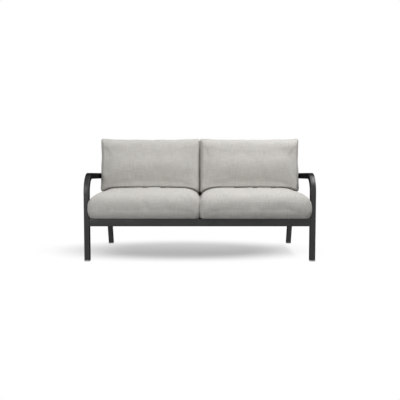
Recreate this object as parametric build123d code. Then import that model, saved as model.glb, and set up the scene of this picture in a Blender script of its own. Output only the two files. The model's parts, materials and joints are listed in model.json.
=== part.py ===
"""Two-seat patio loveseat: bent tube arms bolted to a welded seat and back frame, four loose cushions.

Lengths are millimetres. X runs along the seat, the front faces -Y and Z is up from the floor. The origin
is on the floor, in the middle of the overall width and depth. A depth is measured rearwards from the
front face of the front legs.
"""

import os
from math import cos, radians, sin, tan

from build123d import *

# Overall sizes
overall_width = 1450.0
arm_height = 552.0
seat_rail_top = 271.0
back_frame_top = 715.0
seat_overhang = 45.0

# Frame tube, with its width along X and its depth along Y
tube_width = 34.0
tube_depth = 38.0
tube_wall = 2.0
tube_corner = 2.0
rail_height = 50.0

# Arm tube: front leg, bend and armrest in one piece
arm_bend_radius = 125.0
arm_slope = 1.7
arm_rear_overrun = 21.5

# Raked rear leg and leaning back upright
rear_leg_rake = 19.5
back_foot_depth = 511.0
back_recline = 14.8
upright_depth = 34.0

# Seat deck
rear_rail_lead = 15.0
bearer_width = 30.0
slat_wall = 1.5
slat_corner = 1.0
seat_slat_width = 40.0
seat_slat_thickness = 15.0
seat_slat_count = 7

# Back grid
back_rail_height = 30.0
back_rail_depth = 25.0
back_rail_rise = 22.0
back_slat_width = 36.0
back_slat_thickness = 12.0
back_slat_count = 9

# Plastic plugs and glides
glide_height = 8.0
glide_chamfer = 1.0
plug_length = 14.0
plug_gap = 0.2
plug_wall = 3.0
cap_thickness = 3.0
cap_chamfer = 1.0

# Fasteners and their holes, whose round sides have few faces, because they repeat
rod_side_count = 12
bolt_radius = 3.0
bolt_length = 16.0
bolt_head_radius = 5.0
bolt_head_height = 6.0
hex_socket_across = 5.0
hex_socket_depth = 3.0
washer_radius = 6.0
washer_thickness = 1.2
nut_radius = 6.0
nut_length = 8.0
thread_gap = 0.1
bolt_hole_gap = 0.3
access_hole_radius = 7.0
cap_flange_radius = 8.5
cap_flange_height = 1.2
cap_stem_length = 5.0
end_plate_thickness = 4.0
leg_bolt_spacing = 25.0
mitre_bolt_margin = 5.0

# Cushions
soft_gap = 0.3
seat_back_gap = 3.0
seat_thickness = 167.0
seat_belly_rise = 56.0
seat_side_height = 14.0
seat_tuck = 20.0
seat_crown_width = 140.0
seat_crown_power = 2.7
seat_rear_share = 0.35
seat_corner = 34.0
seat_front_bow = 6.0
seat_rear_bow = 0.4
seat_side_draw = 3.0
back_cushion_top = 772.0
back_cushion_thickness = 175.0
back_seam = 100.0
back_belly = 62.0
back_tuck = 18.0
back_crown_width = 78.0
back_crown_power = 2.0
back_sole_share = 0.3
back_corner = 16.0
back_top_flare = 9.0
back_ear = 9.0
back_side_draw = 5.0
back_bottom_bow = 0.4
cover_steps = 6
wadding_thickness = 10.0
foam_gap = 0.3
foam_crown_drop = 36.0

# Zips, each in a recess of its cushion's cover
zip_length = 480.0
zip_width = 26.0
zip_thickness = 0.8
zip_coil_radius = 0.5
zip_recess = 1.4

# Places that follow from the sizes above
outer_x = overall_width / 2
arm_inner_x = outer_x - tube_width
arm_x = outer_x - tube_width / 2
inner_frame_x = arm_inner_x - tube_width
inner_tube_x = arm_inner_x - tube_width / 2
rail_bottom = seat_rail_top - rail_height
rail_centre_z = seat_rail_top - rail_height / 2
rear_rail_depth = back_foot_depth - rear_rail_lead
seat_depth = seat_overhang + back_foot_depth - seat_back_gap
seat_crown_top = seat_rail_top + seat_thickness
reach = 2 * overall_width
both_sides = (("left", -1), ("right", 1))

# The arm tube's centre line round its bend and along the armrest
slope = radians(arm_slope)
bend_centre_z = arm_height - arm_bend_radius
bend_middle_radius = arm_bend_radius - tube_depth / 2
armrest_start_depth = arm_bend_radius + bend_middle_radius * sin(slope)
armrest_start_z = bend_centre_z + bend_middle_radius * cos(slope)


def armrest_centre_z(depth):
    """Height of the armrest's centre line, which falls towards the rear."""
    return armrest_start_z - (depth - armrest_start_depth) * tan(slope)


# The armrest is bolted to the middle of the leaning upright and, behind it, to the middle of the rear leg,
# and the leg's rake then gives where its foot stands.
upright_rise = armrest_centre_z(back_foot_depth) - seat_rail_top
upright_front_depth = back_foot_depth + upright_rise * tan(radians(back_recline))
upright_across = upright_depth / cos(radians(back_recline))
leg_across = tube_depth / cos(radians(rear_leg_rake))
upright_bolt_depth = upright_front_depth + upright_across / 2
leg_bolt_depth = upright_front_depth + upright_across + nut_radius + mitre_bolt_margin
leg_bolt_rise = armrest_centre_z(leg_bolt_depth)
rear_foot_depth = leg_bolt_depth - leg_across / 2 + leg_bolt_rise * tan(radians(rear_leg_rake))
leg_front_y = (seat_overhang - rear_foot_depth - leg_across) / 2


def at_depth(depth):
    """Y of a point that lies this far behind the front legs' front face."""
    return leg_front_y + depth


# The back plane holds the uprights' front faces: its X is the frame's X, its Y runs up the recline
# and its Z points forwards, out of the back.
back_plane = Plane(
    origin=(0, at_depth(back_foot_depth), seat_rail_top),
    x_dir=(1, 0, 0),
    z_dir=(0, -cos(radians(back_recline)), sin(radians(back_recline))),
)

# The rear leg plane holds the rear legs' front faces in the same way, with its origin on the floor.
rear_leg_plane = Plane(
    origin=(0, at_depth(rear_foot_depth), 0),
    x_dir=(1, 0, 0),
    z_dir=(0, -cos(radians(rear_leg_rake)), -sin(radians(rear_leg_rake))),
)


def eased_rectangle(width, depth, corner):
    """Centred rectangle with cut corners. A flat cut stands for a small radius, with fewer faces."""
    return chamfer(Rectangle(width, depth).vertices(), corner)


def tube_section(width, depth, wall, corner):
    """Hollow rectangular section with eased corners and a sharp bore, centred."""
    return eased_rectangle(width, depth, corner) - Rectangle(width - 2 * wall, depth - 2 * wall)


def tube(start, direction, across, width, depth, length, wall=tube_wall, corner=tube_corner):
    """Straight tube from the centre of its first end, with its width measured along across."""
    plane = Plane(origin=start, x_dir=across, z_dir=direction)
    return extrude(plane * tube_section(width, depth, wall, corner), length)


def rod(start, direction, radius, length):
    """Solid rod from the centre of its first end."""
    section = RegularPolygon(radius, rod_side_count)
    return extrude(Plane(origin=start, z_dir=direction) * section, length)


def below(height):
    """Everything under this height."""
    return Pos(0, 0, height - reach / 2) * Box(reach, reach, reach)


def above(height):
    """Everything over this height."""
    return Pos(0, 0, height + reach / 2) * Box(reach, reach, reach)


def ahead_of(plane, offset):
    """Everything in front of a leaning plane, from this far along its normal."""
    return plane.location * Pos(0, 0, offset + reach / 2) * Box(reach, reach, reach)


def behind(plane):
    """Everything behind a leaning plane."""
    return plane.location * Pos(0, 0, -reach / 2) * Box(reach, reach, reach)


# Arm tubes


def arm_rear_end(side):
    """Centre of the armrest's rear end, a little behind its last bolt."""
    depth = leg_bolt_depth + arm_rear_overrun
    return (side * arm_x, at_depth(depth), armrest_centre_z(depth))


def arm_path(side):
    """Centre line of one arm tube, from the glide up the leg, round the bend and back to the rear end."""
    x = side * arm_x
    leg_y = at_depth(tube_depth / 2)
    leg_foot = Vector(x, leg_y, glide_height)
    leg_top = Vector(x, leg_y, bend_centre_z)
    bend_end = Vector(x, at_depth(armrest_start_depth), armrest_start_z)
    leg = Line(leg_foot, leg_top)
    bend = TangentArc(leg_top, bend_end, tangent=(0, 0, 1))
    return Curve() + [leg, bend, Line(bend_end, arm_rear_end(side))]


def leg_bolt_points(side):
    """Where the front leg's bolts meet the front rail's end."""
    for up in (-1, 1):
        yield (
            side * arm_inner_x,
            at_depth(tube_depth / 2),
            rail_centre_z + up * leg_bolt_spacing / 2,
        )


def armrest_bolt_points(side):
    """Where the armrest's bolts meet the upright and, behind it, the rear leg."""
    for depth in (upright_bolt_depth, leg_bolt_depth):
        yield (side * arm_inner_x, at_depth(depth), armrest_centre_z(depth))


def bolt_points(side):
    """All four bolts of one arm tube, on the plane where it meets the welded frame."""
    return [*leg_bolt_points(side), *armrest_bolt_points(side)]


def shifted(point, distance):
    """The point moved along X."""
    return (point[0] + distance, point[1], point[2])


def arm_tube(side):
    """Bent tube with a bolt hole in its inner wall and an access hole in its outer wall at each bolt."""
    section_plane = Plane(
        origin=(side * arm_x, at_depth(tube_depth / 2), glide_height),
        x_dir=(1, 0, 0),
        z_dir=(0, 0, 1),
    )
    section = section_plane * tube_section(tube_width, tube_depth, tube_wall, tube_corner)
    body = sweep(section, path=arm_path(side))
    for point in bolt_points(side):
        body -= rod(point, (side, 0, 0), bolt_radius + bolt_hole_gap, tube_width / 2)
        middle = shifted(point, side * tube_width / 2)
        body -= rod(middle, (side, 0, 0), access_hole_radius, tube_width)
    return body


def plug_section(depth):
    """Hollow section that fits the bore of a frame tube of this depth."""
    fit = 2 * (tube_wall + plug_gap)
    outside = Rectangle(tube_width - fit, depth - fit)
    return outside - Rectangle(tube_width - fit - 2 * plug_wall, depth - fit - 2 * plug_wall)


def end_plug(depth):
    """Cap over a tube end, eased at its face, with a plug that fits the bore. Faces +Z."""
    plate = extrude(eased_rectangle(tube_width, depth, tube_corner), cap_thickness)
    plate = chamfer(plate.faces().sort_by(Axis.Z)[-1].edges(), cap_chamfer)
    return plate + extrude(plug_section(depth), -plug_length)


def arm_end_cap(side):
    """Plug in the armrest's open rear end."""
    direction = (0, cos(slope), -sin(slope))
    plane = Plane(origin=arm_rear_end(side), x_dir=(1, 0, 0), z_dir=direction)
    return plane.location * end_plug(tube_depth)


# Welded frame


def drilled(body, points, side):
    """The body with a bolt hole at each point, through the wall that faces the arm tube."""
    for point in points:
        body -= rod(point, (-side, 0, 0), bolt_radius + bolt_hole_gap, tube_width / 2)
    return body


def rear_leg(side):
    """Raked leg from its glide up to the upright's rear face, which its top is mitred to."""
    across = (side * inner_tube_x, 0, -tube_depth / 2)
    length = back_frame_top / cos(radians(rear_leg_rake))
    leg = tube(across, (0, 1, 0), (1, 0, 0), tube_width, tube_depth, length)
    leg = rear_leg_plane.location * leg
    leg = leg - below(glide_height) - ahead_of(back_plane, -upright_depth)
    return drilled(leg, list(armrest_bolt_points(side))[1:], side)


def upright_length():
    """Length of the uprights along the recline, from the side rail to the caps."""
    return (back_frame_top - seat_rail_top) / cos(radians(back_recline))


def back_upright(side):
    """Leaning tube that stands on the side rail."""
    start = (side * inner_tube_x, -tube_depth, -upright_depth / 2)
    length = tube_depth + upright_length()
    body = tube(start, (0, 1, 0), (1, 0, 0), tube_width, upright_depth, length)
    body = back_plane.location * body - below(seat_rail_top)
    return drilled(body, list(armrest_bolt_points(side))[:1], side)


def upright_cap(side):
    """Plug in the upright's top end."""
    plane = Plane(
        origin=(side * inner_tube_x, upright_length(), -upright_depth / 2),
        x_dir=(1, 0, 0),
        z_dir=(0, 1, 0),
    )
    return back_plane.location * plane.location * end_plug(upright_depth)


def front_rail():
    """Rail between the front legs, flush with their front faces."""
    start = (-arm_inner_x, at_depth(tube_depth / 2), rail_centre_z)
    return tube(start, (1, 0, 0), (0, 1, 0), tube_depth, rail_height, 2 * arm_inner_x)


def rail_end_plate(side):
    """Plate welded inside the front rail's end, which the leg bolts pass."""
    start = (side * arm_inner_x, at_depth(tube_depth / 2), rail_centre_z)
    plane = Plane(origin=start, x_dir=(0, 1, 0), z_dir=(-side, 0, 0))
    fit = 2 * (tube_wall + thread_gap)
    plate = Rectangle(tube_depth - fit, rail_height - fit)
    body = extrude(plane * plate, end_plate_thickness)
    return drilled(body, leg_bolt_points(side), side)


def rear_rail():
    """Rail under the cushions' rear edge, between the side rails."""
    start = (-inner_frame_x, at_depth(rear_rail_depth + tube_depth / 2), rail_centre_z)
    return tube(start, (1, 0, 0), (0, 1, 0), tube_depth, rail_height, 2 * inner_frame_x)


def side_rail(side):
    """Rail from the front rail back to the raked leg, whose front face cuts its end."""
    start = (side * inner_tube_x, at_depth(tube_depth), rail_centre_z)
    length = rear_foot_depth - tube_depth
    rail = tube(start, (0, 1, 0), (1, 0, 0), tube_width, rail_height, length)
    return rail - behind(rear_leg_plane)


def centre_bearer():
    """Bearer under the middle of the seat slats, between the front and rear rails."""
    height = rail_height - seat_slat_thickness
    start = (0, at_depth(tube_depth), rail_bottom + height / 2)
    length = rear_rail_depth - tube_depth
    return tube(start, (0, 1, 0), (1, 0, 0), bearer_width, height, length)


def seat_slat(number):
    """One slat across the seat, level with the rails' top, counted from the front."""
    clear = rear_rail_depth - tube_depth
    gap = (clear - seat_slat_count * seat_slat_width) / (seat_slat_count + 1)
    middle = tube_depth + number * (gap + seat_slat_width) - seat_slat_width / 2
    start = (-inner_frame_x, at_depth(middle), seat_rail_top - seat_slat_thickness / 2)
    sizes = (seat_slat_width, seat_slat_thickness, 2 * inner_frame_x, slat_wall, slat_corner)
    return tube(start, (1, 0, 0), (0, 1, 0), *sizes)


def back_rail(rise):
    """Rail between the uprights, with its lower face this far up the recline."""
    start = (-inner_frame_x, rise + back_rail_height / 2, -back_rail_depth / 2)
    length = 2 * inner_frame_x
    rail = tube(start, (1, 0, 0), (0, 1, 0), back_rail_height, back_rail_depth, length)
    return back_plane.location * rail


def back_slat(number):
    """One upright slat between the back rails, flush with their front faces, counted from the left."""
    pitch = 2 * inner_frame_x / (back_slat_count + 1)
    low = back_rail_rise + back_rail_height
    start = (number * pitch - inner_frame_x, low, -back_slat_thickness / 2)
    length = upright_length() - back_rail_height - low
    sizes = (back_slat_width, back_slat_thickness, length, slat_wall, slat_corner)
    return back_plane.location * tube(start, (0, 1, 0), (1, 0, 0), *sizes)


# Glides


def front_glide(side):
    """Pad under the front leg, as wide as the tube, with its plug in the bore."""
    centre = Pos(side * arm_x, at_depth(tube_depth / 2), 0)
    pad = extrude(eased_rectangle(tube_width, tube_depth, tube_corner), glide_height)
    pad = chamfer(pad.faces().sort_by(Axis.Z)[0].edges(), glide_chamfer)
    plug = Pos(0, 0, glide_height) * extrude(plug_section(tube_depth), plug_length)
    return centre * (pad + plug)


def rear_glide(side):
    """Pad under the raked rear leg, cut level at the floor, with its plug along the leg."""
    plane = Plane(
        origin=(side * inner_tube_x, -tube_depth, -tube_depth / 2),
        x_dir=(1, 0, 0),
        z_dir=(0, 1, 0),
    )
    outline = plane * eased_rectangle(tube_width, tube_depth, tube_corner)
    pad = rear_leg_plane.location * extrude(outline, 2 * tube_depth)
    pad = pad - below(0) - above(glide_height)
    pad = chamfer(pad.faces().sort_by(Axis.Z)[0].edges(), glide_chamfer)
    plug = extrude(plane * plug_section(tube_depth), tube_depth + glide_height + 2 * plug_length)
    plug = rear_leg_plane.location * plug - below(glide_height)
    return pad + plug


# Fasteners


def bolt(side, point):
    """Socket-head bolt inside the arm tube, through its inner wall into the weld nut."""
    seat = shifted(point, side * (tube_wall + washer_thickness))
    head = rod(seat, (side, 0, 0), bolt_head_radius, bolt_head_height)
    top = shifted(seat, side * bolt_head_height)
    key_plane = Plane(origin=top, z_dir=(-side, 0, 0))
    key = RegularPolygon(hex_socket_across / 2, 6, major_radius=False)
    head -= extrude(key_plane * key, hex_socket_depth)
    return head + rod(seat, (-side, 0, 0), bolt_radius, bolt_length)


def washer(side, point):
    """Flat washer between the bolt head and the arm tube's inner wall."""
    start = shifted(point, side * tube_wall)
    disc = rod(start, (side, 0, 0), washer_radius, washer_thickness)
    return disc - rod(start, (side, 0, 0), bolt_radius + bolt_hole_gap, washer_thickness)


def weld_nut(side, point, depth):
    """Hexagonal nut welded behind the wall or plate that the bolt passes."""
    start = shifted(point, -side * depth)
    hexagon = Plane(origin=start, z_dir=(-side, 0, 0)) * RegularPolygon(nut_radius, 6)
    body = extrude(hexagon, nut_length)
    return body - rod(start, (-side, 0, 0), bolt_radius + thread_gap, nut_length)


def bolt_cap(side, point):
    """Plastic cap in the access hole over a bolt, eased at its rim."""
    face = shifted(point, side * tube_width)
    flange = rod(face, (side, 0, 0), cap_flange_radius, cap_flange_height)
    rim = flange.faces().sort_by(Axis.X)[-1 if side > 0 else 0].edges()
    flange = chamfer(rim, cap_flange_height / 2)
    return flange + rod(face, (-side, 0, 0), access_hole_radius - plug_gap, cap_stem_length)


def each_bolt(make):
    """A group of the same fastener at every bolt."""
    return Compound([make(side, point) for _, side in both_sides for point in bolt_points(side)])


def all_weld_nuts():
    """Nuts behind the rail's end plates and behind the outer walls of the uprights and rear legs."""
    nuts = []
    for _, side in both_sides:
        nuts += [weld_nut(side, point, end_plate_thickness) for point in leg_bolt_points(side)]
        nuts += [weld_nut(side, point, tube_wall) for point in armrest_bolt_points(side)]
    return Compound(nuts)


# Cushions


def soft_side(start, end, bow):
    """One side of a cushion's outline, bowed to the right of its direction."""
    along = (end - start).normalized()
    outwards = Vector(along.Y, -along.X)
    return ThreePointArc(start, (start + end) / 2 + outwards * bow, end)


def soft_outline(corners, bows, radius):
    """Closed outline of four bowed sides with rounded corners, counter-clockwise."""
    points = [Vector(*corner) for corner in corners]
    ends = points[1:] + points[:1]
    sides = [soft_side(*pair, bow) for pair, bow in zip(zip(points, ends), bows)]
    return fillet(make_face(sides).vertices(), radius)


def quarter_turns(steps):
    """Angles of a quarter turn divided into equal steps, from 0 to 90 degrees."""
    return [radians(90) * step / steps for step in range(steps + 1)]


def level_list(belly, seam, top, tuck, crown_width, crown_power):
    """Height and inset of each level of a cushion: a round belly, a plain side and a crown.

    The belly is a quarter of an ellipse, and the crown a quarter of a superellipse of this power.
    """
    levels = [(belly * (1 - cos(a)), tuck * (1 - sin(a))) for a in quarter_turns(cover_steps // 2)]
    for angle in quarter_turns(cover_steps):
        rise = (top - seam) * sin(angle) ** (2 / crown_power)
        inset = crown_width * (1 - cos(angle) ** (2 / crown_power))
        levels.append((seam + rise, inset))
    return levels


def seat_form():
    """Right seat cushion's outside: bowed at the front, drawn in at the sides and fuller at the rear."""
    bottom = seat_rail_top + soft_gap
    top = seat_crown_top - bottom
    front = at_depth(-seat_overhang)
    rear = front + seat_depth
    inner = soft_gap
    outer = arm_inner_x - soft_gap
    bows = (seat_front_bow, -seat_side_draw, seat_rear_bow, -seat_side_draw)
    seam = seat_belly_rise + seat_side_height
    sizes = (seat_belly_rise, seam, top, seat_tuck, seat_crown_width)
    outlines = []
    for height, inset in level_list(*sizes, seat_crown_power):
        rear_y = rear - seat_rear_share * inset
        corners = (
            (inner + inset, front + inset),
            (outer - inset, front + inset),
            (outer - inset, rear_y),
            (inner + inset, rear_y),
        )
        outlines.append(Pos(0, 0, bottom + height) * soft_outline(corners, bows, seat_corner))
    return loft(outlines, ruled=True)


def back_cushion_high():
    """How far up the recline the back cushion's ears reach."""
    lean = radians(back_recline)
    rise = back_cushion_top - seat_rail_top - back_seam * sin(lean)
    return rise / cos(lean) + back_ear


def sole_low(out):
    """How far up the recline the back cushion's sole lies, this far out, clear of the seat by its bow."""
    lean = radians(back_recline)
    return (seat_thickness + soft_gap + back_bottom_bow - out * sin(lean)) / cos(lean)


def back_form():
    """Right back cushion's outside: drawn in at the sides and, between its two ears, at the top."""
    thickness = back_cushion_thickness - soft_gap
    high = back_cushion_high()
    inner = soft_gap
    outer = arm_inner_x - soft_gap
    bows = (back_bottom_bow, -back_side_draw, -back_ear, -back_side_draw)
    sizes = (back_belly, back_seam, thickness, back_tuck, back_crown_width)
    outlines = []
    for height, inset in level_list(*sizes, back_crown_power):
        out = soft_gap + height
        low = sole_low(out) + back_sole_share * inset
        corners = (
            (inner + inset, low),
            (outer - inset, low),
            (outer + back_top_flare - inset, high - inset),
            (inner + inset, high - inset),
        )
        outlines.append(Pos(0, 0, out) * soft_outline(corners, bows, back_corner))
    return back_plane.location * loft(outlines, ruled=True)


def foam_block(low, high, slope_width):
    """Foam cut as a block between two corners, with the edges of its +Z face sloped off."""
    size = high - low
    block = Pos(*(low + size / 2)) * Box(*size)
    crown = block.faces().sort_by(Axis.Z)[-1]
    return chamfer(crown.edges(), slope_width, foam_crown_drop, reference=crown)


def seat_foam(skin):
    """Right seat cushion's foam, this far inside the cover's tucks and crown."""
    edge = seat_tuck + skin
    front = at_depth(-seat_overhang)
    low = Vector(soft_gap + edge, front + edge, seat_rail_top + soft_gap + skin)
    high = Vector(arm_inner_x - soft_gap - edge, front + seat_depth - edge, seat_crown_top - skin)
    return foam_block(low, high, seat_crown_width - seat_tuck)


def back_foam(skin):
    """Right back cushion's foam, this far inside the cover's tucks, crown and sole."""
    edge = back_tuck + skin
    low = Vector(soft_gap + edge, sole_low(back_cushion_thickness), soft_gap + skin)
    right = arm_inner_x - soft_gap - edge
    high = Vector(right, back_cushion_high() - back_ear - edge, back_cushion_thickness - skin)
    block = foam_block(low, high, back_crown_width - back_tuck)
    return back_plane.location * block - below(seat_crown_top + soft_gap + skin)


def seat_zip_place():
    """Where the seat zip's outer face lies: on the cushion's rear side, facing backwards."""
    centre_x = arm_inner_x / 2
    rear = at_depth(seat_depth - seat_overhang)
    height = seat_rail_top + seat_belly_rise + seat_side_height / 2
    return Plane(origin=(centre_x, rear, height), x_dir=(1, 0, 0), z_dir=(0, 1, 0))


def back_zip_place():
    """Where the back zip's outer face lies: on the cushion's level underside, facing down."""
    centre_x = arm_inner_x / 2
    lean = radians(back_recline)
    rise = seat_crown_top - seat_rail_top
    middle = back_foot_depth + rise * tan(lean) - (back_belly + back_seam) / 2 / cos(lean)
    origin = (centre_x, at_depth(middle), seat_crown_top + soft_gap)
    return Plane(origin=origin, x_dir=(1, 0, 0), z_dir=(0, 0, -1))


def zip_piece(place):
    """Zip tape with its coil, seated on the floor of its recess."""
    tape = extrude(Rectangle(zip_length, zip_width), zip_thickness)
    coil = rod((-zip_length / 2, 0, zip_thickness), (1, 0, 0), zip_coil_radius, zip_length)
    return place.location * Pos(0, 0, -zip_recess) * (tape + (coil - below(0)))


def zip_recess_block(place):
    """The room that the zip takes out of its cover."""
    side = zip_width + 2 * soft_gap
    block = Box(zip_length + 2 * soft_gap, side, 2 * zip_recess)
    return place.location * block


def cushion_pieces(name, form, foam, place):
    """Cover with its wadding, foam core and zip of one cushion, as built on the right."""
    cover = form - foam(wadding_thickness) - zip_recess_block(place)
    core = foam(wadding_thickness + foam_gap)
    return {f"{name}_cover": cover, f"{name}_foam": core, f"{name}_zip": zip_piece(place)}


def cushions():
    """Both seat and both back cushions, the left ones as mirror images."""
    right = cushion_pieces("seat", seat_form(), seat_foam, seat_zip_place())
    right |= cushion_pieces("back", back_form(), back_foam, back_zip_place())
    nodes = {}
    for name, body in right.items():
        nodes[f"right_{name}"] = body
        nodes[f"left_{name}"] = mirror(body, about=Plane.YZ)
    return nodes


def loveseat():
    """Every node of the loveseat by name."""
    nodes = {}
    for name, side in both_sides:
        nodes[f"{name}_arm_tube"] = arm_tube(side)
        nodes[f"{name}_arm_end_cap"] = arm_end_cap(side)
        nodes[f"{name}_rear_leg"] = rear_leg(side)
        nodes[f"{name}_back_upright"] = back_upright(side)
        nodes[f"{name}_upright_cap"] = upright_cap(side)
        nodes[f"{name}_side_rail"] = side_rail(side)
        nodes[f"{name}_rail_end_plate"] = rail_end_plate(side)
        nodes[f"{name}_front_glide"] = front_glide(side)
        nodes[f"{name}_rear_glide"] = rear_glide(side)
    nodes["front_rail"] = front_rail()
    nodes["rear_rail"] = rear_rail()
    nodes["centre_bearer"] = centre_bearer()
    for number in range(1, seat_slat_count + 1):
        nodes[f"seat_slat_{number}"] = seat_slat(number)
    nodes["back_bottom_rail"] = back_rail(back_rail_rise)
    nodes["back_top_rail"] = back_rail(upright_length() - back_rail_height)
    for number in range(1, back_slat_count + 1):
        nodes[f"back_slat_{number}"] = back_slat(number)
    nodes["frame_bolts"] = each_bolt(bolt)
    nodes["bolt_washers"] = each_bolt(washer)
    nodes["weld_nuts"] = all_weld_nuts()
    nodes["bolt_caps"] = each_bolt(bolt_cap)
    nodes |= cushions()
    return nodes


os.makedirs("parts", exist_ok=True)
for node, shape in loveseat().items():
    export_step(shape, f"parts/{node}.step")
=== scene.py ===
"""Looks of the patio loveseat: frame finishes, padded cushions, zips, light and camera.

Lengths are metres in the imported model's frame: X along the seat, -Y to the front, Z up from
the floor.
"""

import json
from math import cos, pi, radians, sin
from typing import NamedTuple

import bpy
import numpy as np
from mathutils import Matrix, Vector
from mathutils.bvhtree import BVHTree


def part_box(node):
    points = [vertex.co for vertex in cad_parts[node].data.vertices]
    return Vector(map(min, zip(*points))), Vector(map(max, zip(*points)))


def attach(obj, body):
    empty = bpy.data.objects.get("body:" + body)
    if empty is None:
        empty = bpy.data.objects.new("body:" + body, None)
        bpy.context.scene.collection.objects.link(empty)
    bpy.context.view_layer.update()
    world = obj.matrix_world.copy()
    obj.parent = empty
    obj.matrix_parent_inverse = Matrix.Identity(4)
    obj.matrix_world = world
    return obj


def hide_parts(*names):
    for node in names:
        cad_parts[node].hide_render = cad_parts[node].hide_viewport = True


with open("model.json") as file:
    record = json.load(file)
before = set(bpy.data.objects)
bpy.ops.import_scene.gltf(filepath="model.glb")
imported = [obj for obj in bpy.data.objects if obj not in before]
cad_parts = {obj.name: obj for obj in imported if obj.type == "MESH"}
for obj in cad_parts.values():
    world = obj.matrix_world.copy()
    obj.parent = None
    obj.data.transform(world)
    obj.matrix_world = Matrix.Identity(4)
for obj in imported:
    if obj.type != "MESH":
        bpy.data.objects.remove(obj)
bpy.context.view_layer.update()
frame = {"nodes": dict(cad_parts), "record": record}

# Camera, fitted to the photograph
camera_distance = 3.7231  # in front of the front legs
camera_height = 0.6556
camera_tilt = radians(4.13)
camera_aside = 0.0012  # to the right of the middle
camera_lens = 53.9  # millimetres
sensor_width = 36.0  # millimetres

# The back plane: the uprights' front faces, which lean back from the seat rails
seat_rail_top = 0.271
back_foot_depth = 0.511
back_recline = radians(14.8)

# Room between a soft piece and what it touches
soft_gap = 0.0004

# Seat cushions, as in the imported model: a round belly, a plain side and a superelliptic crown
seat_belly = 0.056  # height of the round underside
seat_side = 0.070  # height at which the crown starts
seat_tuck = 0.020  # how far the underside is set in
seat_crown_width = 0.140  # how far the top is set in
seat_crown_power = 2.7
seat_rear_share = 0.35  # share of the insets that the rear has
seat_inner_share = 0.5  # share of the belly's insets beside the neighbour
seat_corner = 0.034  # corner radius seen from above
seat_front_bow = 0.006  # how far the front bows out
seat_side_draw = 0.003  # how far the outer side draws in
seat_dome = 0.003
seat_seam_inset = 0.009  # distance of the seams from the sides
seat_press = 0.0035  # what the neighbour presses flat
seat_swell = 0.010  # how far the front swells low down
seat_swell_rise = 0.034  # height of that swell
seat_swell_reach = 0.050
seat_lap = 0.007  # how far the side spreads in front of the leg
seat_lap_run = 0.018

# Back cushions: a rear side on the slats, a seam all round and a crown to the front
back_thickness = 0.175
back_belly = 0.062  # depth of the round rear edge
back_seam = 0.100  # distance of the seam from the back plane
back_tuck = 0.018
back_crown_width = 0.078
back_crown_power = 2.0
back_side_share = 0.36  # share of the insets that the sides have
back_sole_share = 0.16  # share of the insets that the sole has
back_press = 0.0010  # what the neighbour presses flat
back_corner = 0.016
back_top_flare = 0.009  # how far the top leans out over the arm
back_ear = 0.0115  # how far the top edge dips between its ears
back_ear_power = 3
back_side_draw = 0.005
back_dome = 0.008
back_paunch = 0.022  # how far the low front stands out
back_paunch_place = -0.20  # from -1 at the sole to 1 at the top
back_paunch_reach = 0.45
back_paunch_power = 4
back_sag_reach = 0.10  # height over which the corners' sag ends
back_sag_limit = 0.026  # largest sag of the outer corner
back_sag_inside = 0.040  # largest sag of the inner corner
back_settle = 0.005  # a gap above the seat up to this size is closed

# How closely the drawing in of a cushion's outer side keeps to that side
side_power = 5

# Where an armrest presses into its back cushion
armrest_middle = 0.533
arm_press = 0.003
arm_press_height = 0.024

# Padding
ring_levels = 12  # rings in the belly, and in the crown
arc_steps = 8  # points round each corner
voxel_size = 0.006
start_inset = 0.008  # how much smaller the cloth starts
pressure = 4.0
swell_frames = 20
swell_share = 0.45  # share of the creases that is kept
swell_cap = 0.0024  # largest crease
fine_rounds = 6  # evens out the noise in the creases
broad_rounds = 500  # finds the broad swelling, which is left out
crown_step = 0.005

# Seams, the puckers beside them, and lumps
seam_width = 0.004
seam_depth = 0.0011
pucker_length = 0.017
pucker_height = 0.0006
pucker_reach = 0.016
pucker_wander = 0.006
pucker_wander_size = 0.09
lump_height = 0.0012
lump_size = 0.11
wave_count = 9
wave_spread = (0.7, 1.6)

# Seeds: the back cushions' follow this far after the seat cushions'
back_seed_step = 10

# Cloth coordinates: where a panel starts to turn over an edge, and each cushion's own offset
cloth_turn = 0.7
cloth_offset = 0.37

# Cloth finish
cloth_colour = (0.525, 0.51, 0.48)
cloth_roughness = 0.93
cloth_specular = 0.2
cloth_sheen = 0.15
cloth_sheen_roughness = 0.6
thread_pitch = 0.0017
thread_wander_scale = 90.0
slub_width = 0.0035
slub_length = 0.07
heather_scale = 900.0
cloud_scale = 9.0
cloth_relief = 0.00035
cloth_relief_strength = 0.8
slub_relief = 0.8
seam_relief = 1.5

# Patterns in a finish: the lowest and highest value, and what each is carried to
slub_shading = (0.7, 1.3, 0.9, 1.095)
heather_shading = (0.25, 0.75, 0.89, 1.1)
cloud_shading = (0.3, 0.7, 0.975, 1.02)
knot_shading = (0.0, 0.6, 0.86, 1.03)
seam_line = (0.0006, 0.0024, 0.0, 1.0)
# Darkening along the seams: painted shade in their grooves
seam_painted_shade = (0.0, 1.0, 0.9, 1.0)
blotch_scale = 14.0
blotch_shading = (0.3, 0.7, 0.94, 1.06)
grain_span = (0.3, 0.7)

# Rounded edges of the frame and its plugs, glides and fasteners
metal_round = 0.0011
small_round = metal_round / 3
round_segments = 2
round_angle = radians(28)
weld_reach = 1e-5
flat_angle = radians(0.5)
gentle_angle = radians(20)

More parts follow.
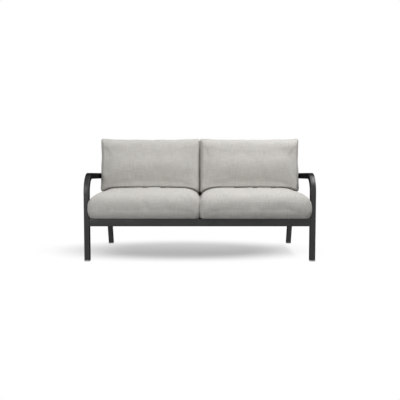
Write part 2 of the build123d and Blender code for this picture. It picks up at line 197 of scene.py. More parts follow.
# Zips: a tape in a shallow channel, teeth, stitches and a slider. Each size is a length, a width
# and, for a block, a height. Each level has a height and an inset.
zip_tape_width = 0.026
zip_tape_thickness = 0.0005
zip_channel_depth = 0.0022
zip_channel_edge = 0.006
zip_facing = 0.6  # least share of the surface's normal that faces outwards
zip_ray = 0.03  # how far out a ray to the cushion starts
tape_steps = 120
tape_rows = (-0.5, -0.42, -0.2, 0.0, 0.2, 0.42, 0.5)  # places across the tape, in widths
tape_lift = 0.0004
tooth_pitch = 0.0028
tooth_size = (0.0016, 0.0030, 0.0009)
tooth_aside = 0.0010
stitch_pitch = 0.0036
stitch_size = (0.0025, 0.0006, 0.0003)
stitch_aside = 0.0105
block_taper = 0.6
slider_place = -0.43  # place along the zip, in lengths
slider_size = (0.013, 0.0088)
slider_levels = ((0.0004, 0.0008), (0.0010, 0.0), (0.0024, 0.0003), (0.0031, 0.0012))
slider_crisp = radians(35)
pull_size = (0.030, 0.0066)
pull_rim = 0.0014
pull_levels = ((0.0014, 0.0), (0.0026, 0.0))
plate_corner_share = 0.3

# Light of the surround, from the horizon to overhead
sky_low = 0.12
sky_high = 0.75

# Floor: how pale it is seen and how pale it lights, and how it fades to white round its centre
floor_size = 16.0
floor_drop = 0.0004
floor_seen = 0.80
floor_bounce = 0.24
floor_glow = 0.38
floor_centre = (-0.12, 0.10, 0.0)
floor_reach = (1.0, 1.9, 1.0)
floor_fade = (0.45, 1.10)
white = (1, 1, 1)


# Meshes


def new_piece(name, points, faces):
    """Mesh object at the origin from points and faces."""
    mesh = bpy.data.meshes.new(name)
    mesh.from_pydata([tuple(p) for p in points], [], faces)
    mesh.update()
    piece = bpy.data.objects.new(name, mesh)
    bpy.context.scene.collection.objects.link(piece)
    return piece


def vectors_of(items, field):
    """One vector of every vertex as an array."""
    values = np.zeros(len(items) * 3, np.float32)
    items.foreach_get(field, values)
    return values.reshape(-1, 3).astype(float)


def set_points(mesh, points):
    """Moves a mesh's points."""
    mesh.vertices.foreach_set("co", points.astype(np.float32).ravel())
    mesh.update()


def apply_modifiers(piece):
    """Keeps what the piece's modifiers make and removes them."""
    graph = bpy.context.evaluated_depsgraph_get()
    made = bpy.data.meshes.new_from_object(piece.evaluated_get(graph), depsgraph=graph)
    piece.modifiers.clear()
    piece.data = made


def smooth_shade(mesh):
    """Smooth shading over the whole mesh."""
    mesh.polygons.foreach_set("use_smooth", [True] * len(mesh.polygons))
    mesh.update()


def mirrored(piece):
    """Moves a piece to the left side."""
    points = vectors_of(piece.data.vertices, "co")
    points[:, 0] *= -1
    set_points(piece.data, points)
    piece.data.flip_normals()


# Values over a mesh


def unit(values):
    """Values kept between 0 and 1."""
    return np.clip(values, 0, 1)


def away(values, low, high):
    """Places from -1 to 1 between two ends."""
    return (2 * values - low - high) / (high - low)


def arch(values):
    """1 in the middle and 0 at both ends, for places from -1 to 1."""
    return 1 - np.clip(values, -1, 1) ** 2


def bell(values):
    """Bell curve that is 1 at 0."""
    return np.exp(-(values**2))


def waves(points, size, seed):
    """Smooth value between about -1 and 1 at each point: a sum of sines of about this size."""
    random = np.random.default_rng(seed)
    total = np.zeros(len(points))
    for _ in range(wave_count):
        direction = random.normal(size=3)
        direction /= np.linalg.norm(direction)
        length = size * random.uniform(*wave_spread)
        total += np.sin(points @ direction * 2 * pi / length + random.uniform(0, 2 * pi))
    return total / (wave_count / 2)


def evened(mesh, values, rounds):
    """A value of each vertex, evened out over its neighbours."""
    ends = np.zeros(len(mesh.edges) * 2, np.int32)
    mesh.edges.foreach_get("vertices", ends)
    first, second = ends.reshape(-1, 2).T
    count = np.bincount(ends, minlength=len(values))
    for _ in range(rounds):
        total = np.bincount(first, values[second], len(values))
        total += np.bincount(second, values[first], len(values))
        values = (values + total / count) / 2
    return values


# Rings of points, and the faces through them


def rounded_ring(left, right, low, high, radius):
    """Points round a rectangle with rounded corners, counter-clockwise."""
    centres = ((right, high, -1, -1), (left, high, 1, -1), (left, low, 1, 1), (right, low, -1, 1))
    ring = []
    for turn, (x, y, inwards_x, inwards_y) in enumerate(centres):
        for angle in np.linspace(turn, turn + 1, arc_steps) * pi / 2:
            across, up = inwards_x + cos(angle), inwards_y + sin(angle)
            ring.append((x + radius * across, y + radius * up))
    return np.array(ring)


def at_level(ring, level):
    """Ring of flat points raised to a level."""
    return np.column_stack([ring, np.full(len(ring), level)])


def profile_levels(belly, seam, top, tuck, crown, power):
    """Height and inset of each ring: a round belly, a plain side and a superelliptic crown."""
    turns = np.linspace(0, pi / 2, ring_levels)
    low = [(belly * (1 - cos(a)), tuck * (1 - sin(a))) for a in turns]
    high = []
    for turn in turns:
        rise = (top - seam) * sin(turn) ** (2 / power)
        high.append((seam + rise, crown * (1 - abs(cos(turn)) ** (2 / power))))
    return low + high


def wall_faces(first, rings, count):
    """Faces through rings of points, from one ring's number to the next one's."""
    faces = []
    for low, high in zip(rings, rings[1:]):
        low, high = first + low * count, first + high * count
        turns = [(i, (i + 1) % count) for i in range(count)]
        faces += [(low + i, low + j, high + j, high + i) for i, j in turns]
    return faces


def stack_faces(rings, count):
    """Faces of a closed stack of rings, with one face at each end."""
    last = (rings - 1) * count
    foot = tuple(reversed(range(count)))
    head = tuple(range(last, last + count))
    return [foot, *wall_faces(0, range(rings), count), head]


# Cushion shapes, each made on the right


class SeatShape:
    """The right seat cushion: its room, its form and how its panels run."""

    def __init__(self):
        low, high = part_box("right_seat_cover")
        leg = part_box("right_arm_tube")[0]
        self.left, self.right = soft_gap - seat_press, leg.x - soft_gap
        self.front, self.rear = low.y + seat_front_bow, high.y
        self.bottom, self.top = low.z, high.z
        self.leg_front = leg.y - soft_gap

    def rings(self):
        """Outlines of the cushion from its underside to its crown, before its sides are drawn."""
        sizes = (seat_belly, seat_side, self.top - self.bottom, seat_tuck, seat_crown_width)
        rings = []
        for height, inset in profile_levels(*sizes, seat_crown_power):
            inner = inset * (seat_inner_share if height < seat_side else 1)
            sides = (self.left + inner, self.right - inset)
            ends = (self.front + inset, self.rear - seat_rear_share * inset)
            ring = rounded_ring(*sides, *ends, seat_corner)
            rings.append(at_level(ring, self.bottom + height))
        return rings

    def drawn(self, points):
        """Swells the front's foot, draws in and laps the outer side, and domes the crown."""
        across = away(points[:, 0], self.left, self.right)
        along = away(points[:, 1], self.front, self.rear)
        rise = unit(away(points[:, 2], self.bottom, self.top))
        plain = arch(along)
        dome = arch(across) * plain
        outer = unit(across) ** side_power
        foot = (points[:, 2] - self.bottom - seat_swell_rise) / seat_swell_reach
        swell = seat_front_bow * (1 - across**2) + seat_swell * bell(foot)
        points[:, 1] -= swell * unit(-along) ** 2
        points[:, 0] += outer * (self.lap(points) - seat_side_draw * plain)
        points[:, 2] += seat_dome * dome * rise
        return points

    def lap(self, points):
        """How far the cushion spreads in front of the leg at each point."""
        return seat_lap * unit((self.leg_front - points[:, 1]) / seat_lap_run)

    def placed(self, points):
        """The seat is made where it lies."""
        return points

    def loose(self, points):
        """How free the cloth is to crease: not at all on the slats."""
        return unit((points[:, 2] - self.bottom) / seat_belly)

    def held(self, points):
        """Keeps the cushion on the slats, between the arm and its neighbour."""
        points[:, 0] = np.clip(points[:, 0], soft_gap, self.right + self.lap(points))
        points[:, 1] = np.minimum(points[:, 1], self.rear)
        points[:, 2] = np.maximum(points[:, 2], self.bottom)
        return points

    def seam(self, points):
        """Distance from the side panels' seams, and distance along them round the profile."""
        inner = np.abs(points[:, 0] - soft_gap - seat_seam_inset)
        outer = np.abs(points[:, 0] - self.right + seat_seam_inset)
        return np.minimum(inner, outer), self.down(points)

    def down(self, points):
        """Way along the long panel, which runs from the rear over the top and down the front."""
        drop = self.top - points[:, 2]
        rear = points[:, 1] * 2 > self.front + self.rear
        return np.where(rear, -drop, drop) - points[:, 1]

    def cloth(self, points, _normals):
        """Cloth coordinates: the long panel's, and the side panels' own."""
        reach = np.abs(2 * points[:, 0] - soft_gap - self.right)
        side = reach > self.right - soft_gap - 2 * seat_seam_inset
        across = np.where(side, points[:, 1], points[:, 0])
        down = np.where(side, points[:, 2], self.down(points))
        return across, down


class BackShape:
    """The right back cushion, made across, up the recline and out from the back plane."""

    def __init__(self, crown_line):
        arm_low, arm_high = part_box("right_arm_tube")
        self.left, self.right = soft_gap - back_press, arm_low.x - soft_gap
        self.arm_top = arm_high.z
        self.origin = np.array([0, arm_low.y + back_foot_depth, seat_rail_top])
        up = (0, sin(back_recline), cos(back_recline))
        out = (0, -cos(back_recline), sin(back_recline))
        self.axes = np.array([(1, 0, 0), up, out])
        self.crown_line = crown_line
        self.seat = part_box("right_seat_cover")[1].z
        self.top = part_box("right_back_cover")[1].z
        rise = self.top - seat_rail_top - back_seam * sin(back_recline)
        self.high = rise / cos(back_recline)

    def local(self, points):
        """Points in the cushion's own axes."""
        return (points - self.origin) @ self.axes.T

    def sole(self, out):
        """How far up the recline the seat's crown lies, this far out from the back plane."""
        rise = self.seat + soft_gap - seat_rail_top - out * sin(back_recline)
        return rise / cos(back_recline)

    def rings(self):
        """Outlines of the cushion from its rear side to its crown, before its sides are drawn."""
        sizes = (back_belly, back_seam, back_thickness - soft_gap, back_tuck, back_crown_width)
        rings = []
        for height, inset in profile_levels(*sizes, back_crown_power):
            out = soft_gap + height
            sides = (self.left + back_side_share * inset, self.right - back_side_share * inset)
            ends = (self.sole(out) + back_sole_share * inset, self.high - inset)
            rings.append(at_level(rounded_ring(*sides, *ends, back_corner), out))
        return rings

    def drawn(self, points):
        """Draws in the sides, leaves ears at the top and flares the outer one over the arm."""
        across = away(points[:, 0], self.left, self.right)
        up = away(points[:, 1], self.sole(points[:, 2]), self.high)
        front = unit(points[:, 2] / back_thickness)
        plain = arch(up)
        dome = arch(across) * plain
        high = unit(up) ** 2
        points[:, 0] -= back_side_draw * unit(across) ** side_power * plain
        points[:, 0] += back_top_flare * unit(across) * high
        points[:, 1] -= back_ear * (1 - np.abs(across) ** back_ear_power) * high
        paunch = bell((up - back_paunch_place) / back_paunch_reach)
        paunch = back_paunch * paunch * (1 - across**back_paunch_power)
        points[:, 2] += (back_dome * dome + paunch) * front
        return points

    def placed(self, points):
        """Carries points from the cushion's own axes to the frame's and sags its corners."""
        points = self.origin + points @ self.axes
        limit = np.where(points[:, 0] * 2 < self.right, back_sag_inside, back_sag_limit)
        drop = np.minimum(self.seat - self.crown_line(points[:, 0]), limit)
        above = unit((points[:, 2] - self.seat) / back_sag_reach)
        points[:, 2] -= drop * (1 - above) ** 2
        return points

    def loose(self, points):
        """How free the cloth is to crease: not at all on the back slats and on the seat."""
        out = self.local(points)[:, 2]
        return unit(out / back_belly) * unit((points[:, 2] - self.seat) / back_belly)

    def held(self, points):
        """Keeps the cushion on the seat, at the back plane, by the arm and its neighbour."""
        local = self.local(points)
        local[:, 2] = np.maximum(local[:, 2], soft_gap)
        points = self.origin + local @ self.axes
        height = points[:, 2]
        flare = back_top_flare * unit((height - self.arm_top) / (self.top - self.arm_top))
        press = arm_press * bell((height - armrest_middle) / arm_press_height)
        points[:, 0] = np.clip(points[:, 0], soft_gap, self.right + flare - press)
        rest = self.crown_line(points[:, 0]) + soft_gap
        points[:, 2] = np.where(height - rest < back_settle, rest, height)
        return points

    def seam(self, points):
        """Distance from the seam round the cushion's edge, and distance along it."""
        local = self.local(points)
        return np.abs(local[:, 2] - back_seam), local[:, 0] + local[:, 1]

    def cloth(self, points, normals):
        """Cloth coordinates: each panel runs from its middle over the edge to the seam."""
        local = self.local(points)
        facing = normals @ self.axes.T
        out = local[:, 2]
        fold = np.where(out > back_seam, back_thickness - out, out)
        share = unit(np.abs(facing) / cloth_turn) ** 2 * np.sign(facing)
        return local[:, 0] + fold * share[:, 0], local[:, 1] + fold * share[:, 1]


def crown_line_of(seat):
    """Highest point of the seat cushion at each place across it, as a function."""
    points = vectors_of(seat.data.vertices, "co")
    across, height = points[:, 0], points[:, 2]
    places = np.arange(across.min(), across.max(), crown_step)
    heights = [height[np.abs(across - place) <= crown_step].max() for place in places]
    return lambda x: np.interp(x, places, heights)


# Padding


def remeshed(piece):
    """Gives the piece an even skin of small squares."""
    remesh = piece.modifiers.new("remesh", "REMESH")
    remesh.mode = "VOXEL"
    remesh.voxel_size = voxel_size
    apply_modifiers(piece)


def swollen(piece, form, loose):
    """Puffs up a slightly smaller form with cloth pressure, and keeps the creases it makes.

    The form itself stays. Creases come where the cloth is loose, as a capped relief.
    """
    mesh = piece.data
    normals = vectors_of(mesh.vertices, "normal")
    set_points(mesh, form - normals * start_inset)
    cloth = piece.modifiers.new("cloth", "CLOTH")
    cloth.settings.use_pressure = True
    cloth.settings.uniform_pressure_force = pressure
    cloth.settings.effector_weights.gravity = 0
    cloth.point_cache.frame_start = 1
    cloth.point_cache.frame_end = swell_frames
    for number in range(1, swell_frames + 1):
        bpy.context.scene.frame_set(number)
    graph = bpy.context.evaluated_depsgraph_get()
    puffed = vectors_of(piece.evaluated_get(graph).data.vertices, "co")
    piece.modifiers.clear()
    bpy.context.scene.frame_set(1)
    relief = evened(mesh, ((puffed - form) * normals).sum(axis=1), fine_rounds)
    relief -= evened(mesh, relief, broad_rounds)
    relief = loose * np.clip(swell_share * relief, -swell_cap, swell_cap)
    set_points(mesh, form + normals * relief[:, None])


def subdivided(piece):
    """Doubles the mesh's fineness."""
    finer = piece.modifiers.new("finer", "SUBSURF")
    finer.levels = 1
    finer.render_levels = 1
    apply_modifiers(piece)


def sewn(piece, shape, seed):
    """Pulls in the seams, puckers the cloth beside them and leaves the padding uneven."""
    points = vectors_of(piece.data.vertices, "co")
    normals = vectors_of(piece.data.vertices, "normal")
    distance, along = shape.seam(points)
    groove = -seam_depth * bell(distance / seam_width)
    wander = pucker_wander * waves(points, pucker_wander_size, seed)
    ripple = np.sin(2 * pi * (along + wander) / pucker_length)
    pucker = pucker_height * ripple * bell(distance / pucker_reach)
    lump = shape.loose(points) * lump_height * waves(points, lump_size, seed + 1)
    moved = points + normals * (groove + pucker + lump)[:, None]
    set_points(piece.data, shape.held(moved))


def keep_cloth_coordinates(piece, shape, seed):
    """Writes each point's place on the cloth and its distance from a seam for the material."""
    mesh = piece.data
    points = vectors_of(mesh.vertices, "co")
    normals = vectors_of(mesh.vertices, "normal")
    across, down = shape.cloth(points, normals)
    distance, _ = shape.seam(points)
    offset = cloth_offset * seed
    values = np.column_stack([across + offset, down + offset, distance]).astype(np.float32)
    attribute = mesh.attributes.new("cloth", "FLOAT_VECTOR", "POINT")
    attribute.data.foreach_set("vector", values.ravel())


def cushion(name, shape, zip_place, seed):
    """One padded cushion, as it lies on the right."""
    rings = shape.rings()
    piece = new_piece(name, np.vstack(rings), stack_faces(len(rings), len(rings[0])))
    remeshed(piece)
    form = shape.placed(shape.drawn(vectors_of(piece.data.vertices, "co")))
    set_points(piece.data, form)
    swollen(piece, form, shape.loose(form))
    subdivided(piece)
    sewn(piece, shape, seed)
    zip_place.pressed(piece)
    keep_cloth_coordinates(piece, shape, seed)
    smooth_shade(piece.data)
    return piece


# Shader nodes


def shader_node(tree, kind, inputs=None, **settings):
    """New node. Each named input takes a value or another node's socket."""
    node = tree.nodes.new(kind)
    for name, value in settings.items():
        setattr(node, name, value)
    for name, value in (inputs or {}).items():
        if isinstance(value, bpy.types.NodeSocket):
            tree.links.new(value, node.inputs[name])
        else:
            node.inputs[name].default_value = value
    return node


def calculated(tree, operation, first, second=0.0):
    """Socket with the result of an operation on two values."""
    inputs = {0: first, 1: second}
    return shader_node(tree, "ShaderNodeMath", inputs, operation=operation).outputs[0]


def multiplied(tree, first, second):
    """Socket with the product of two values."""
    return calculated(tree, "MULTIPLY", first, second)


def added(tree, first, second):
    """Socket with the sum of two values."""
    return calculated(tree, "ADD", first, second)


def ranged(tree, value, low, high, out_low, out_high):
    """Socket with the value carried from one range to another, smoothly and within its ends."""
    inputs = {
        "Value": value,
        "From Min": low,
        "From Max": high,
        "To Min": out_low,
        "To Max": out_high,
    }
    node = shader_node(tree, "ShaderNodeMapRange", inputs, interpolation_type="SMOOTHSTEP")
    return node.outputs["Result"]


def noise(tree, coordinates, scale, detail):
    """Socket with a soft noise value of about a half."""
    inputs = {"Vector": coordinates, "Scale": scale, "Detail": detail}
    return shader_node(tree, "ShaderNodeTexNoise", inputs).outputs["Fac"]


def scaled(tree, coordinates, factors):
    """Socket with the coordinates scaled along each axis."""
    inputs = {"Vector": coordinates, "Scale": factors}
    return shader_node(tree, "ShaderNodeMapping", inputs).outputs["Vector"]


def object_place(tree):
    """Socket with the place on the object itself."""
    return shader_node(tree, "ShaderNodeTexCoord").outputs["Object"]


def tinted(tree, colour, strength):
    """Socket with a colour made lighter or darker by a value of about 1."""
    inputs = {"Vector": colour, "Scale": strength}
    node = shader_node(tree, "ShaderNodeVectorMath", inputs, operation="SCALE")
    return node.outputs["Vector"]


def bumped(tree, shader, height, distance, strength=1.0):
    """Gives the shader a relief of this depth."""
    inputs = {"Height": height, "Distance": distance, "Strength": strength}
    bump = shader_node(tree, "ShaderNodeBump", inputs)
    tree.links.new(bump.outputs["Normal"], shader.inputs["Normal"])


def new_material(name, roughness, specular):
    """Material, its tree and its main shader."""
    material = bpy.data.materials.new(name)
    material.use_nodes = True
    tree = material.node_tree
    shader = tree.nodes["Principled BSDF"]
    shader.inputs["Roughness"].default_value = roughness
    shader.inputs["Specular IOR Level"].default_value = specular
    return material, tree, shader


# Materials


class Finish(NamedTuple):
    """A plain finish: its colour and gloss, the scale and depth of its grain, and its metal.

    The spread is how far the grain's shades go, the metal is a share, and the slant is how
    strong the metal's gloss is when seen at a slant.
    """

    name: str
    colour: tuple
    roughness: float
    specular: float
    grain: float
    depth: float
    spread: float
    metal: float = 0.0
    slant: float = 1.0


plain_finishes = {
    "frame_coating": Finish(
        name="powder_coat",
        colour=(0.047, 0.047, 0.048),
        roughness=0.36,
        specular=0.0,
        grain=1100.0,
        depth=0.00006,
        spread=0.12,
        metal=0.78,
        slant=0.0,
    ),
    "black_plastic": Finish(
        name="moulded_black",
        colour=(0.024, 0.024, 0.025),
        roughness=0.7,
        specular=0.25,
        grain=1600.0,
        depth=0.00008,
        spread=0.1,
    ),
    "grey_plastic": Finish(
        name="moulded_grey",
        colour=(0.42, 0.42, 0.42),
        roughness=0.5,
        specular=0.4,
        grain=1600.0,
        depth=0.00008,
        spread=0.05,
    ),
    "steel": Finish(
        name="zinc_steel",
        colour=(0.5, 0.5, 0.5),
        roughness=0.35,
        specular=0.5,
        grain=700.0,
        depth=0.0001,
        spread=0.08,
        metal=1.0,
    ),
    "foam": Finish(
        name="foam",
        colour=(0.85, 0.84, 0.78),
        roughness=0.95,
        specular=0.1,
        grain=500.0,
        depth=0.0004,
        spread=0.05,
    ),
    "zip": Finish(
        name="zip_tape",
        colour=(0.36, 0.345, 0.32),
        roughness=0.85,
        specular=0.2,
        grain=1300.0,
        depth=0.0002,
        spread=0.08,
    ),
}


def plain_material(finish):
    """Plain surface with a fine grain and a little unevenness in its colour."""
    material, tree, shader = new_material(finish.name, finish.roughness, finish.specular)
    slant = finish.slant
    shader.inputs["Metallic"].default_value = finish.metal
    shader.inputs["Specular Tint"].default_value = (slant, slant, slant, 1)
    place = object_place(tree)
    grain = noise(tree, place, finish.grain, detail=3.0)
    blotches = noise(tree, place, blotch_scale, detail=2.0)
    shade = ranged(tree, grain, *grain_span, 1 - finish.spread, 1 + finish.spread)
    shade = multiplied(tree, shade, ranged(tree, blotches, *blotch_shading))
    tree.links.new(tinted(tree, finish.colour, shade), shader.inputs["Base Color"])
    bumped(tree, shader, grain, finish.depth)
    return material


def thread_waves(tree, place, wander):
    """Socket with a wave over each thread, for a place across the threads."""
    turned = multiplied(tree, added(tree, place, wander), pi / thread_pitch)
    return calculated(tree, "SINE", turned)


def cloth_material():
    """Woven outdoor fabric: a plain weave of uneven heather yarns, with painted shade along the
    seams' grooves.
    """
    material, tree, shader = new_material("woven_fabric", cloth_roughness, cloth_specular)
    shader.inputs["Sheen Weight"].default_value = cloth_sheen
    shader.inputs["Sheen Roughness"].default_value = cloth_sheen_roughness
    cloth = shader_node(tree, "ShaderNodeAttribute", attribute_name="cloth").outputs["Vector"]
    parts = shader_node(tree, "ShaderNodeSeparateXYZ", {"Vector": cloth}).outputs
    wander = noise(tree, cloth, thread_wander_scale, detail=2.0)
    wander = multiplied(tree, wander, thread_pitch)
    warp = thread_waves(tree, parts["X"], wander)
    weft = thread_waves(tree, parts["Y"], wander)
    knots = calculated(tree, "ABSOLUTE", multiplied(tree, warp, weft))
    flat = scaled(tree, cloth, (1, 1, 0))
    lengthwise = scaled(tree, flat, (1 / slub_width, 1 / slub_length, 0))
    crosswise = scaled(tree, flat, (1 / slub_length, 1 / slub_width, 0))
    slubs = [noise(tree, yarns, 1.0, detail=2.0) for yarns in (lengthwise, crosswise)]
    slubs = added(tree, *slubs)
    heather = noise(tree, flat, heather_scale, detail=1.0)
    clouds = noise(tree, flat, cloud_scale, detail=3.0)
    # Seam lines: they darken the cloth as painted shade in the seams' grooves, and they also
    # deepen the relief there
    seams = ranged(tree, parts["Z"], *seam_line)
    patterns = (
        (heather, heather_shading),
        (clouds, cloud_shading),
        (knots, knot_shading),
        (seams, seam_painted_shade),
    )
    shade = ranged(tree, slubs, *slub_shading)
    for pattern, shading in patterns:
        shade = multiplied(tree, shade, ranged(tree, pattern, *shading))
    tree.links.new(tinted(tree, cloth_colour, shade), shader.inputs["Base Color"])
    relief = added(tree, knots, multiplied(tree, slubs, slub_relief))
    relief = added(tree, relief, multiplied(tree, seams, seam_relief))
    bumped(tree, shader, relief, cloth_relief, cloth_relief_strength)
    return material


def slot_materials():
    """Finish of each material slot in the record."""
    materials = {slot: plain_material(finish) for slot, finish in plain_finishes.items()}
    materials["cover_fabric"] = cloth_material()
    return materials


# Frame finish


def edge_shading():
    """Geometry nodes that shade gentle bends smoothly and leave edges crisp."""
    group = bpy.data.node_groups.new("edge_shading", "GeometryNodeTree")
    group.interface.new_socket("Geometry", in_out="INPUT", socket_type="NodeSocketGeometry")
    group.interface.new_socket("Geometry", in_out="OUTPUT", socket_type="NodeSocketGeometry")
    source = group.nodes.new("NodeGroupInput")
    result = group.nodes.new("NodeGroupOutput")
    angle = group.nodes.new("GeometryNodeInputMeshEdgeAngle")
    gentle = shader_node(
        group,
        "FunctionNodeCompare",
        {0: angle.outputs["Unsigned Angle"], 1: gentle_angle},
        data_type="FLOAT",
        operation="LESS_THAN",
    )
    faces = group.nodes.new("GeometryNodeSetShadeSmooth")
    edges = group.nodes.new("GeometryNodeSetShadeSmooth")
    edges.domain = "EDGE"
    group.links.new(source.outputs[0], faces.inputs["Geometry"])
    group.links.new(faces.outputs["Geometry"], edges.inputs["Geometry"])
    group.links.new(gentle.outputs[0], edges.inputs["Shade Smooth"])
    group.links.new(edges.outputs["Geometry"], result.inputs[0])
    return group


def finish_frame(materials):
    """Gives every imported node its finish, and the hard ones' edges a small round."""
    slots = {s["node"]: s["material_slot"] for s in frame["record"]["subparts"]}
    widths = {"frame_coating": metal_round}
    widths.update(dict.fromkeys(("black_plastic", "grey_plastic", "steel"), small_round))
    shading = edge_shading()
    for name, piece in frame["nodes"].items():
        slot = slots[name]
        piece.material_slots[0].material = materials[slot]
        if slot not in widths:
            continue
        piece.modifiers.new("weld", "WELD").merge_threshold = weld_reach
        flat = piece.modifiers.new("flat", "DECIMATE")
        flat.decimate_type = "DISSOLVE"
        flat.angle_limit = flat_angle
        bevel = piece.modifiers.new("round", "BEVEL")
        bevel.width = widths[slot]
        bevel.segments = round_segments
        bevel.angle_limit = round_angle
        bevel.use_clamp_overlap = True
        piece.modifiers.new("shading", "NODES").node_group = shading


# Zips


class ZipPlace:
    """Where a cushion's zip lies: its middle, length, and axes along, across and outwards."""

    def __init__(self, node, outwards):
        low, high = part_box(node)
        self.middle = np.array((low + high) / 2)
        self.length = high.x - low.x
        self.axes = np.array([(1, 0, 0), np.cross(outwards, (1, 0, 0)), outwards], float)

    def pressed(self, piece):
        """Presses the zip's shallow channel into the cushion."""
        points = vectors_of(piece.data.vertices, "co")
        facing = vectors_of(piece.data.vertices, "normal") @ self.axes[2]
        local = (points - self.middle) @ self.axes.T
        share = (facing > zip_facing).astype(float)
        for value, size in ((local[:, 0], self.length), (local[:, 1], zip_tape_width)):
            share *= unit((size / 2 + zip_channel_edge - np.abs(value)) / zip_channel_edge)
        points -= np.outer(share * zip_channel_depth, self.axes[2])
        set_points(piece.data, points)

    def lay_on(self, piece):
        """Keeps the cushion's surface to lay the zip on."""
        self.surface = BVHTree.FromObject(piece, bpy.context.evaluated_depsgraph_get())

    def laid(self, along, across, lift):
        """Point this far along and across the zip, lifted off the cushion."""
        start = self.middle + np.array((along, across, zip_ray)) @ self.axes
        ground = self.surface.ray_cast(Vector(start), Vector(-self.axes[2]))[0]
        return np.array(ground) + lift * self.axes[2]


def tape_sheet(place):
    """Points and faces of the zip's tape as a thin sheet that follows its channel."""
    points, faces = [], []
    for along in np.linspace(-0.5, 0.5, tape_steps + 1) * place.length:
        for row in tape_rows:
            points.append(place.laid(along, row * zip_tape_width, tape_lift))
    count = len(tape_rows)
    for first in range(0, tape_steps * count, count):
        for i in range(first, first + count - 1):
            faces.append((i, i + count, i + count + 1, i + 1))
    return points, faces


def add_blocks(points, faces, place, places, size):
    """Adds small tapered blocks, such as teeth or stitches, that stand on the tape."""
    length, width, height = size
    ground = tape_lift + zip_tape_thickness / 2
    for along, across in places:
        base = len(points)
        middle = place.laid(along, across, ground)
        for level, share in ((0, 1.0), (height, block_taper)):
            for x, y in ((-1, -1), (1, -1), (1, 1), (-1, 1)):
                corner = (x * share * length / 2, y * share * width / 2, level)
                points.append(middle + np.array(corner) @ place.axes)
        faces.append(tuple(base + i for i in (4, 5, 6, 7)))
        faces += wall_faces(base, (0, 1), 4)


def zip_band(name, place):
    """Zip tape with two rows of teeth that mesh, and a row of stitches along each edge."""
    tape = new_piece(name, *tape_sheet(place))
    thick = tape.modifiers.new("thick", "SOLIDIFY")
    thick.thickness = zip_tape_thickness
    thick.offset = 0
    apply_modifiers(tape)
    points = list(vectors_of(tape.data.vertices, "co"))
    faces = [tuple(face.vertices) for face in tape.data.polygons]
    bpy.data.objects.remove(tape)
    half = place.length / 2 - tooth_pitch
    teeth = [(x, tooth_aside) for x in np.arange(-half, half, tooth_pitch)]
    teeth += [(x + tooth_pitch / 2, -y) for x, y in teeth]
    steps = np.arange(-half, half, stitch_pitch)
    stitches = [(x, y) for x in steps for y in (stitch_aside, -stitch_aside)]
    add_blocks(points, faces, place, teeth, tooth_size)
    add_blocks(points, faces, place, stitches, stitch_size)
    return new_piece(name, points, faces)


def levelled(size, levels, aside):
    """Rings of a small rounded plate: each level has a height and an inset."""
    length, width = size
    corner = plate_corner_share * width
    rings = []
    for height, inset in levels:
        x, y = length / 2 - inset, width / 2 - inset
        rings.append(at_level(rounded_ring(aside - x, aside + x, -y, y, corner), height))
    return rings


def zip_slider(name, place):
    """Zip slider: a rounded body and a pull with a hole, lying along the teeth."""
    body = levelled(slider_size, slider_levels, 0)
    aside = (slider_size[0] + pull_size[0]) / 2 - 2 * pull_rim
    outer = levelled(pull_size, pull_levels, aside)
    inner = levelled([v - 2 * pull_rim for v in pull_size], pull_levels, aside)
    count = len(body[0])
    points = np.vstack(body + [outer[0], outer[1], inner[1], inner[0]])
    faces = stack_faces(len(body), count)
    faces += wall_faces(len(body) * count, (0, 1, 2, 3, 0), count)
    ground = place.laid(slider_place * place.length, 0, tape_lift)
    slider = new_piece(name, ground + points @ place.axes, faces)
    smooth_shade(slider.data)
    slider.data.set_sharp_from_angle(angle=slider_crisp)
    return slider


# Stage


def camera():
    """Camera at the photograph's place."""
    data = bpy.data.cameras.new("camera")
    data.lens = camera_lens
    data.sensor_width = sensor_width
    camera_object = bpy.data.objects.new("camera", data)
    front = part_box("right_arm_tube")[0].y
    camera_object.location = (camera_aside, front - camera_distance, camera_height)
    camera_object.rotation_euler = (pi / 2 - camera_tilt, 0, 0)
    bpy.context.scene.collection.objects.link(camera_object)
    bpy.context.scene.camera = camera_object


def seen_directly(tree):
    """Socket that is 1 where the camera, glass or a gloss sees the surface."""
    path = shader_node(tree, "ShaderNodeLightPath").outputs
    seen = calculated(tree, "MAXIMUM", path["Is Camera Ray"], path["Is Glossy Ray"])
    return calculated(tree, "MAXIMUM", seen, path["Is Transmission Ray"])


def sky():
    """Pale surround: white where it is seen, and a soft light that is stronger from above."""
    world = bpy.data.worlds.new("sky")
    world.use_nodes = True
    tree = world.node_tree
    background = tree.nodes["Background"]
    background.inputs["Color"].default_value = (*white, 1)
    way = shader_node(tree, "ShaderNodeTexCoord").outputs["Generated"]
    height = shader_node(tree, "ShaderNodeSeparateXYZ", {"Vector": way}).outputs["Z"]
    light = ranged(tree, height, 0.0, 1.0, sky_low, sky_high)
    inputs = {0: seen_directly(tree), 2: light, 3: 1.0}
    mix = shader_node(tree, "ShaderNodeMix", inputs, data_type="FLOAT")
    tree.links.new(mix.outputs[0], background.inputs["Strength"])
    bpy.context.scene.world = world


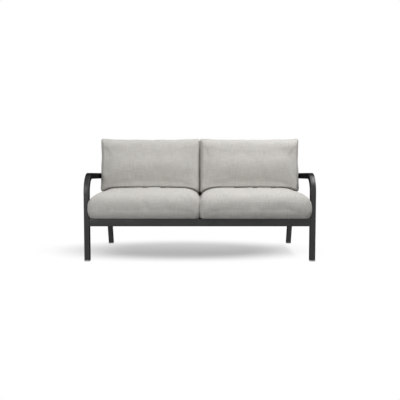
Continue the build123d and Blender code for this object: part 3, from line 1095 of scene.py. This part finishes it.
def floor():
    """Pale floor that keeps the object's shadow and fades to pure white away from it."""
    half = floor_size / 2
    corners = [(-half, -half, 0), (half, -half, 0), (half, half, 0), (-half, half, 0)]
    piece = new_piece("floor", corners, [(0, 1, 2, 3)])
    piece.location = floor_centre
    piece.location.z -= floor_drop
    material, tree, shader = new_material("pale_floor", 1.0, 0.0)
    seen = seen_directly(tree)
    pale = ranged(tree, seen, 0.0, 1.0, floor_bounce, floor_seen)
    tree.links.new(tinted(tree, white, pale), shader.inputs["Base Color"])
    glow = shader_node(tree, "ShaderNodeEmission", {"Color": (*white, 1), "Strength": 1.0})
    place = scaled(tree, object_place(tree), floor_reach)
    reach = shader_node(tree, "ShaderNodeVectorMath", {0: place}, operation="LENGTH")
    far = ranged(tree, reach.outputs["Value"], *floor_fade, floor_glow, 1.0)
    share = multiplied(tree, far, seen)
    inputs = {0: share, 1: shader.outputs[0], 2: glow.outputs[0]}
    mix = shader_node(tree, "ShaderNodeMixShader", inputs)
    tree.links.new(mix.outputs[0], tree.nodes["Material Output"].inputs["Surface"])
    piece.data.materials.append(material)


def lamp(name, place, target, size, power):
    """Soft light that faces its target, with its second side level."""
    data = bpy.data.lights.new(name, "AREA")
    data.shape = "RECTANGLE"
    data.size, data.size_y = size
    data.energy = power
    light = bpy.data.objects.new(name, data)
    light.location = place
    aim = Vector(target) - Vector(place)
    light.rotation_euler = aim.to_track_quat("-Z", "X").to_euler()
    bpy.context.scene.collection.objects.link(light)


def lights():
    """Soft key overhead on the right, and a broad soft light from the front."""
    lamp(
        "key",
        place=(1.35, -0.55, 3.0),
        target=(0.0, -0.55, 0.3),
        size=(0.5, 2.4),
        power=66,
    )
    lamp(
        "front",
        place=(-1.9, -3.2, 1.7),
        target=(0.0, 0.0, 0.3),
        size=(2.2, 2.2),
        power=50,
    )


# The whole scene


def fitted(piece, slot, name, side, materials):
    """Puts a piece made on the right on its own side, on its body and in its finish."""
    if side == "left":
        mirrored(piece)
    piece.data.materials.clear()
    piece.data.materials.append(materials[slot])
    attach(piece, f"{name}_cushion")


def dress(materials):
    """On each side the seat cushion, then the back cushion on it, in place of the CAD solids."""
    for seed, side in enumerate(("right", "left"), start=1):
        seat_zip = ZipPlace("right_seat_zip", (0, 1, 0))
        seat = cushion(f"{side}_seat_cushion", SeatShape(), seat_zip, seed)
        back_zip = ZipPlace("right_back_zip", (0, 0, -1))
        back_shape = BackShape(crown_line_of(seat))
        back = cushion(f"{side}_back_cushion", back_shape, back_zip, seed + back_seed_step)
        for kind, piece, place in (("seat", seat, seat_zip), ("back", back, back_zip)):
            name = f"{side}_{kind}"
            place.lay_on(piece)
            band = zip_band(f"{name}_zip_band", place)
            slider = zip_slider(f"{name}_zip_slider", place)
            fitted(piece, "cover_fabric", name, side, materials)
            fitted(band, "zip", name, side, materials)
            fitted(slider, "steel", name, side, materials)
            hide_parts(f"{name}_cover", f"{name}_foam")
            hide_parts(f"{name}_zip")


def main():
    """Builds the scene in order."""
    bpy.context.scene.view_settings.view_transform = "Standard"
    camera()
    sky()
    floor()
    lights()
    materials = slot_materials()
    finish_frame(materials)
    dress(materials)


main()
